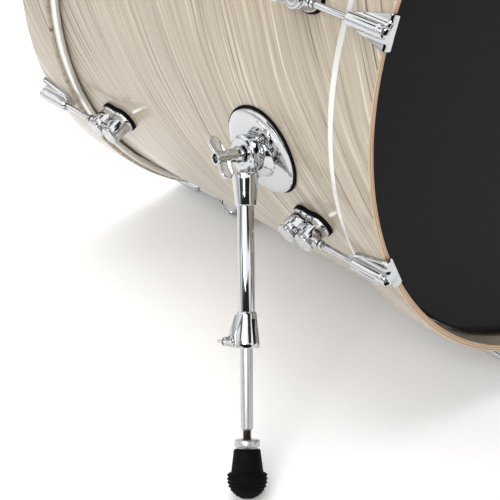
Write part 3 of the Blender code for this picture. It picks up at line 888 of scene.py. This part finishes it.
def make_bracket(side):
    """The bracket and its gasket on the shell."""
    name = side + "_spur"
    sign = -1 if side == "right" else 1
    around = Matrix.Rotation(sign * BRACKET_ANGLE, 4, "Y")
    seat = DRUM @ around @ Matrix.Translation((0, BRACKET_Y, SHELL_RADIUS))
    outward = Vector(joints[side + "_bracket_bolt_turn"]["axis"])
    slant = facing((0, 0, 0), seat.to_3x3().inverted() @ outward, (0, 1, 0))
    base_plane = ((0, 0, 0.0030), (0, 0, 1))
    boss = trimmed(moved(bracket_boss(), slant), *base_plane)
    teeth = moved(toothed_ring(BOSS_END - TEETH_WIDTH, BOSS_END), slant)
    pin_place = Matrix.Translation((sign * STOP_PIN_DROP, 0, 0)) @ slant
    pin = trimmed(moved(rounded_bar(0.0032, -0.0020, 0.0098, 0.0006), pin_place), *base_plane)
    mesh = mesh_of(name + "_bracket_shape", [(bracket_base(), 0), (boss, 0), (teeth, 0), (pin, 0)])
    place(name + "_domed_bracket", mesh, [CHROME], "drum", name + "_bracket", seat)
    pad = mesh_of(name + "_gasket_shape", [(bracket_gasket(), 0)])
    place(name + "_rubber_gasket", pad, [RUBBER], "drum", name + "_gasket", seat)


# Spur legs, with z down the leg from the hinge and x towards the hinge axis's outer end.

def knuckle_parts(lean):
    """The clamping disc with its toothed face, and the sleeve that grips the tube."""
    tip = Matrix.Rotation(lean, 4, "Y")
    half = KNUCKLE_HALF
    disc = fillet([(0, -half + 0.0020), (KNUCKLE_RADIUS, -half + 0.0020), (KNUCKLE_RADIUS, half - 0.0014),
                   (KNUCKLE_RADIUS - 0.0030, half), (0.0100, half), (0.0096, half - 0.0006),
                   (0, half - 0.0006)], 0.0007, arc=3)
    teeth = toothed_ring(-half, TEETH_WIDTH - half)
    bore = TUBE_RADIUS - 0.0004
    floor = TUBE_START - 0.0010
    sleeve = fillet([(0, SLEEVE_START), (0.0104, SLEEVE_START), (0.0118, 0.0176), (0.0116, 0.0220),
                     (0.0104, 0.0340), (0.0095, SLEEVE_END - 0.0006), (0.0088, SLEEVE_END),
                     (bore, SLEEVE_END), (bore, floor), (0, floor)], 0.0006, arc=3)
    neck = block((-0.0230, -0.0110, 0.0012 - half), (0.0, 0.0110, half - 0.0020), 0.0012, 3)
    return [(moved(lathe(disc, 72), tip), 0), (moved(teeth, tip), 0), (lathe(sleeve, 48), 0),
            (moved(neck, tip), 0)]


def collar_parts():
    """The flared clamp collar, with its split painted as a thin black strip of shade, and the sloping ear
    that takes the clamp screw.
    """
    bore = TUBE_RADIUS - 0.0005
    rod_bore = LEG_ROD_RADIUS + 0.0004
    body = fillet([(bore, COLLAR_START), (0.0084, COLLAR_START), (0.0092, COLLAR_START + 0.0020),
                   (0.0100, COLLAR_START + 0.0120), (0.0117, COLLAR_END - 0.0040), (0.0113, COLLAR_END),
                   (rod_bore, COLLAR_END), (rod_bore, TUBE_END + 0.002), (bore, TUBE_END + 0.001)],
                  0.0006, closed=True, arc=2)
    outline = [(0.0065, COLLAR_START + 0.0020), (0.0088, COLLAR_START + 0.0020), (EAR_REACH, 0.1585),
               (EAR_REACH, COLLAR_END - 0.0022), (EAR_REACH - 0.0020, COLLAR_END - 0.0004),
               (0.0065, COLLAR_END - 0.0004)]
    ear = prism(outline, -EAR_HALF_WIDTH, EAR_HALF_WIDTH, 0.0014, 3)
    ear = moved(ear, Matrix.Rotation(math.pi / 2, 4, "X"))
    # The split is not cut: a thin block in the black rubber finish stands in for the gap as painted shade.
    split_shade_strip = block((-0.0004, -0.0122, COLLAR_START + 0.006), (0.0004, -0.0080, COLLAR_END - 0.004), 0.0001, 1)
    return [(lathe(body, 56), 0), (ear, 0), (split_shade_strip, 1)]


def foot_mesh(centre):
    """The rubber foot: a faintly ringed cone and a ball, its centre one radius off the floor."""
    bore = STUD_RADIUS + 0.0004
    shoulder = FOOT_TOP + 0.0008
    neck = centre - 0.0056
    top = 0.0118
    flare = 0.0024
    profile = [(bore, FOOT_TOP), (top - 0.0006, FOOT_TOP), (top, shoulder)]
    rings = 28
    for step in range(1, rings):
        along = step / rings
        ridge = 0.00015 * math.sin(math.tau * 7 * along) if along > 0.5 else 0.0
        profile.append((top + flare * along + ridge, shoulder + (neck - shoulder) * along))
    profile += [(top + flare, neck), (0.0160, neck + 0.0006), (0.0168, neck + 0.0014)]
    start = math.acos(-0.0038 / FOOT_RADIUS)
    end = math.radians(16)
    for step in range(37):
        angle = start + (end - start) * step / 36
        profile.append((FOOT_RADIUS * math.sin(angle), centre + FOOT_RADIUS * math.cos(angle)))
    profile.append((bore, centre + FOOT_RADIUS * math.cos(end)))

    def tread(angle, height):
        if not centre - 0.0039 < height < centre + 0.0171:
            return 0.0
        polar = math.acos(max(-1.0, min(1.0, (height - centre) / FOOT_RADIUS)))
        across = max(0.0, math.cos(30 * angle))
        along = max(0.0, math.cos(32 * polar))
        return TREAD_DEPTH * (min(1.0, 1.8 * across * along) - 1.0)

    return mesh_of("foot_shape", [(lathe(profile, 240, tread), 0)])


def tube_shape():
    """The chrome outer tube."""
    section = [(TUBE_RADIUS, TUBE_START), (TUBE_RADIUS, TUBE_END), (TUBE_BORE, TUBE_END),
               (TUBE_BORE, TUBE_START)]
    return lathe(fillet(section, 0.0003, closed=True, arc=2), 48)


def rod_parts():
    """The sliding rod, its threaded stud and the spike at the stud's end."""
    bar = lathe(fillet([(0, LEG_ROD_START), (LEG_ROD_RADIUS, LEG_ROD_START),
                        (LEG_ROD_RADIUS, LEG_ROD_END - 0.0016), (STUD_RADIUS, LEG_ROD_END),
                        (0, LEG_ROD_END)], 0.0005, arc=3), 40)
    stud = threaded_bar(STUD_RADIUS, LEG_ROD_END - 0.0003, STUD_END, 0.00125, 0.0009, 28)
    spike = lathe([(0, STUD_END - 0.0001), (STUD_RADIUS - 0.0004, STUD_END - 0.0001),
                   (0.0006, SPIKE_END - 0.0003), (0, SPIKE_END)], 28)
    return [(bar, 0), (stud, 1), (spike, 1)]


def lock_nut_shape():
    """The round nut that locks the foot, with a smaller collar towards it."""
    hole = STUD_RADIUS + 0.0003
    section = [(hole, LOCK_NUT_START), (0.0100, LOCK_NUT_START), (0.0113, LOCK_NUT_START + 0.0009),
               (0.0113, LOCK_NUT_END - 0.0022), (0.0105, LOCK_NUT_END - 0.0014),
               (0.0092, LOCK_NUT_END - 0.0012), (0.0092, LOCK_NUT_END), (hole, LOCK_NUT_END)]
    return lathe(fillet(section, 0.0004, closed=True, arc=2), 64)


def make_leg(side):
    """One folding, telescopic leg, with each piece on its own body."""
    name = side + "_spur_"
    clamp = joints[side + "_clamp_screw_turn"]
    outward = Vector(joints[side + "_bracket_bolt_turn"]["axis"])
    down = Vector(joints[side + "_leg_telescope"]["axis"])
    pivot = Vector(joints[side + "_spur_fold"]["pos_m"])
    leg = facing(pivot, down, outward)
    lean = outward.angle(down)
    spin = Matrix.Rotation(BOLT_SPIN if side == "right" else -BOLT_SPIN, 4, "Z")
    bolt_place = facing(pivot, outward, down) @ spin
    screw_place = facing(Vector(clamp["pos_m"]), clamp["axis"], leg.to_3x3() @ Vector((0, 1, 0)))
    foot = foot_mesh((pivot.z - FOOT_RADIUS) / -down.z)

    def put(piece, mesh, finishes, body, node, matrix=leg):
        place(name + piece, mesh, finishes, side + "_" + body, name + node, matrix)

    bolt = mesh_of("bolt", wing_screw_parts(STUD_RADIUS, -0.0085, 0.0062, 0.0330, 0.0075, 0.0145))
    put("bracket_wing_screw", bolt, [CHROME], "bracket_bolt", "bracket_wing_bolt", bolt_place)
    put("cast_knuckle", mesh_of("knuckle", knuckle_parts(lean)), [CHROME], "leg", "knuckle")
    put("chrome_tube", mesh_of("tube", [(tube_shape(), 0)]), [CHROME], "leg", "outer_tube")
    # The collar's second finish, black rubber, paints its split as shade.
    put("cast_collar", mesh_of("collar", collar_parts()), [CHROME, RUBBER], "leg", "clamp_collar")
    screw = mesh_of("screw", wing_screw_parts(0.0030, 0.0062, 0.0166, 0.0250, 0.0052, 0.0085))
    put("clamp_thumb_screw", screw, [CHROME], "clamp_screw", "clamp_wing_screw", screw_place)
    rod = mesh_of("rod", rod_parts())
    put("sliding_rod", rod, [STEEL, DULL_STEEL], "lower_leg", "inner_rod")
    nut = mesh_of("nut", [(lock_nut_shape(), 0)])
    put("round_lock_nut", nut, [STEEL], "lock_nut", "lock_nut")
    put("rubber_ball_foot", foot, [RUBBER], "foot", "rubber_foot")


# The set: a pale floor, soft lights and the camera.

# Each dark corner of the room: its direction, the cosine of its half angle, and its tone.
DARK_CORNERS = (((0.78, -0.60, 0.18), 0.900, 0.14), ((0.06, -0.66, 0.75), 0.935, 0.03),
                ((0.00, -0.25, 0.97), 0.950, 0.04),
                ((-0.25, 0.64, 0.72), 0.985, 0.04), ((-0.80, 0.45, 0.35), 0.980, 0.06),
                ((0.20, 0.10, 0.97), 0.988, 0.10), ((-0.95, -0.10, 0.25), 0.975, 0.05),
                ((0.45, 0.70, 0.40), 0.950, 0.08), ((0.90, -0.20, 0.30), 0.955, 0.08),
                ((-0.62, -0.70, 0.10), 0.985, 0.05))
CORNER_SOFTNESS = 0.006
# The room's tones, by height above the horizon.
ROOM_TONES = ((0.00, 0.40), (0.10, 0.60), (0.30, 1.00), (1.00, 1.00))
# A low black wall in front: its direction, the cosine of its half angle, its height and its tone.
DARK_WALL = (-0.595, -0.804, 0.0)
WALL_EDGE = 0.77
WALL_TOP = 0.445
WALL_TONE = 0.02
WALL_SOFTNESS = 0.02
# The tone the camera sees, and the room's strength in matt surfaces and in mirrors.
BACKDROP_TONE = 0.97
ROOM_STRENGTH = 0.9
MIRROR_STRENGTH = 1.5
CAMERA_PLACE = (-1.1730, -1.1409, 1.0405)
CAMERA_TILT = math.radians(90.0 - 32.94)
CAMERA_HEADING = math.radians(-40.34)
CAMERA_LENS = 129.2
LIGHTS_AIM = (0, 0, 0.3)
FLOOR_REACH = 12.0
FLOOR_LEVEL = -0.0004


def make_floor():
    """A wide pale floor under the drum."""
    bm = bmesh.new()
    bmesh.ops.create_grid(bm, x_segments=8, y_segments=8, size=FLOOR_REACH)
    mesh = bpy.data.meshes.new("floor_shape")
    bm.to_mesh(mesh)
    bm.free()
    mesh.materials.append(floor_material())
    floor = bpy.data.objects.new("studio_floor", mesh)
    bpy.context.scene.collection.objects.link(floor)
    floor.location.z = FLOOR_LEVEL


def add_light(name, location, size, power, mirrored=True):
    """A large square soft light aimed at the drum, which may be left out of the reflections."""
    lamp = bpy.data.lights.new(name, "AREA")
    lamp.shape = "SQUARE"
    lamp.size = size
    lamp.energy = power
    item = bpy.data.objects.new(name, lamp)
    bpy.context.scene.collection.objects.link(item)
    item.location = location
    item.visible_glossy = mirrored
    aim = Vector(LIGHTS_AIM) - Vector(location)
    item.rotation_euler = aim.to_track_quat("-Z", "Y").to_euler()


def make_world():
    """A white studio whose dark corners, seen only as reflections, give the plating its contrast."""
    world = bpy.data.worlds.new("studio")
    bpy.context.scene.world = world
    world.use_nodes = True
    tree = world.node_tree
    background = tree.nodes["Background"]
    direction = tree.nodes.new("ShaderNodeTexCoord").outputs["Generated"]
    parts = tree.nodes.new("ShaderNodeSeparateXYZ")
    tree.links.new(direction, parts.inputs["Vector"])
    height = parts.outputs["Z"]
    tone = world_ramp(tree, height, ROOM_TONES)
    for middle, edge, dark in DARK_CORNERS:
        shade = dark_cone(tree, direction, Vector(middle).normalized(), edge, CORNER_SOFTNESS, dark)
        tone = blended(tree, "MULTIPLY", tone, shade)
    across = dark_cone(tree, direction, DARK_WALL, WALL_EDGE, WALL_SOFTNESS, WALL_TONE)
    upright = world_ramp(tree, height, [(WALL_TOP - WALL_SOFTNESS, WALL_TONE), (WALL_TOP, 1.0)])
    tone = blended(tree, "MULTIPLY", tone, blended(tree, "LIGHTEN", across, upright))
    backdrop = tree.nodes.new("ShaderNodeMix")
    backdrop.data_type = "RGBA"
    rays = tree.nodes.new("ShaderNodeLightPath")
    tree.links.new(rays.outputs["Is Camera Ray"], backdrop.inputs[0])
    tree.links.new(tone, backdrop.inputs[6])
    backdrop.inputs[7].default_value = (BACKDROP_TONE, BACKDROP_TONE, BACKDROP_TONE, 1.0)
    tree.links.new(backdrop.outputs[2], background.inputs["Color"])
    strength = tree.nodes.new("ShaderNodeMapRange")
    strength.inputs["To Min"].default_value = ROOM_STRENGTH
    strength.inputs["To Max"].default_value = MIRROR_STRENGTH
    tree.links.new(rays.outputs["Is Glossy Ray"], strength.inputs["Value"])
    tree.links.new(strength.outputs["Result"], background.inputs["Strength"])


def blended(tree, kind, first, second):
    """Two of the world's tones blended in full."""
    node = tree.nodes.new("ShaderNodeMix")
    node.data_type = "RGBA"
    node.blend_type = kind
    node.inputs[0].default_value = 1.0
    tree.links.new(first, node.inputs[6])
    tree.links.new(second, node.inputs[7])
    return node.outputs[2]


def dark_cone(tree, direction, middle, edge, softness, dark):
    """White, except in a cone about a direction, where it is dark."""
    dot = tree.nodes.new("ShaderNodeVectorMath")
    dot.operation = "DOT_PRODUCT"
    tree.links.new(direction, dot.inputs[0])
    dot.inputs[1].default_value = middle
    return world_ramp(tree, dot.outputs["Value"], [(edge, 1.0), (edge + softness, dark)])


def world_ramp(tree, factor, stops):
    """A grey ramp in the world's nodes."""
    ramp = tree.nodes.new("ShaderNodeValToRGB")
    elements = ramp.color_ramp.elements
    while len(elements) < len(stops):
        elements.new(0.5)
    for element, (position, tone) in zip(elements, stops):
        element.position = position
        element.color = (tone, tone, tone, 1)
    tree.links.new(factor, ramp.inputs["Fac"])
    return ramp.outputs["Color"]


def make_camera():
    """The camera, in front and on the drum's right, looking down at the spur."""
    camera = bpy.data.cameras.new("camera")
    camera.lens = CAMERA_LENS
    camera.sensor_width = 36.0
    camera.clip_start = 0.05
    item = bpy.data.objects.new("camera", camera)
    bpy.context.scene.collection.objects.link(item)
    item.location = CAMERA_PLACE
    item.rotation_euler = (CAMERA_TILT, 0.0, CAMERA_HEADING)
    bpy.context.scene.camera = item


def main():
    make_shell()
    make_ends()
    make_tension_hardware()
    for side in ("right", "left"):
        make_bracket(side)
        make_leg(side)
    make_floor()
    make_world()
    add_light("key", (-2.9, -1.5, 2.3), size=1.6, power=62)
    add_light("fill", (2.4, 0.6, 2.4), size=1.8, power=30)
    add_light("top", (-0.3, 0.2, 3.2), size=2.6, power=60, mirrored=False)
    make_camera()
    bpy.context.scene.view_settings.view_transform = "Standard"


main()
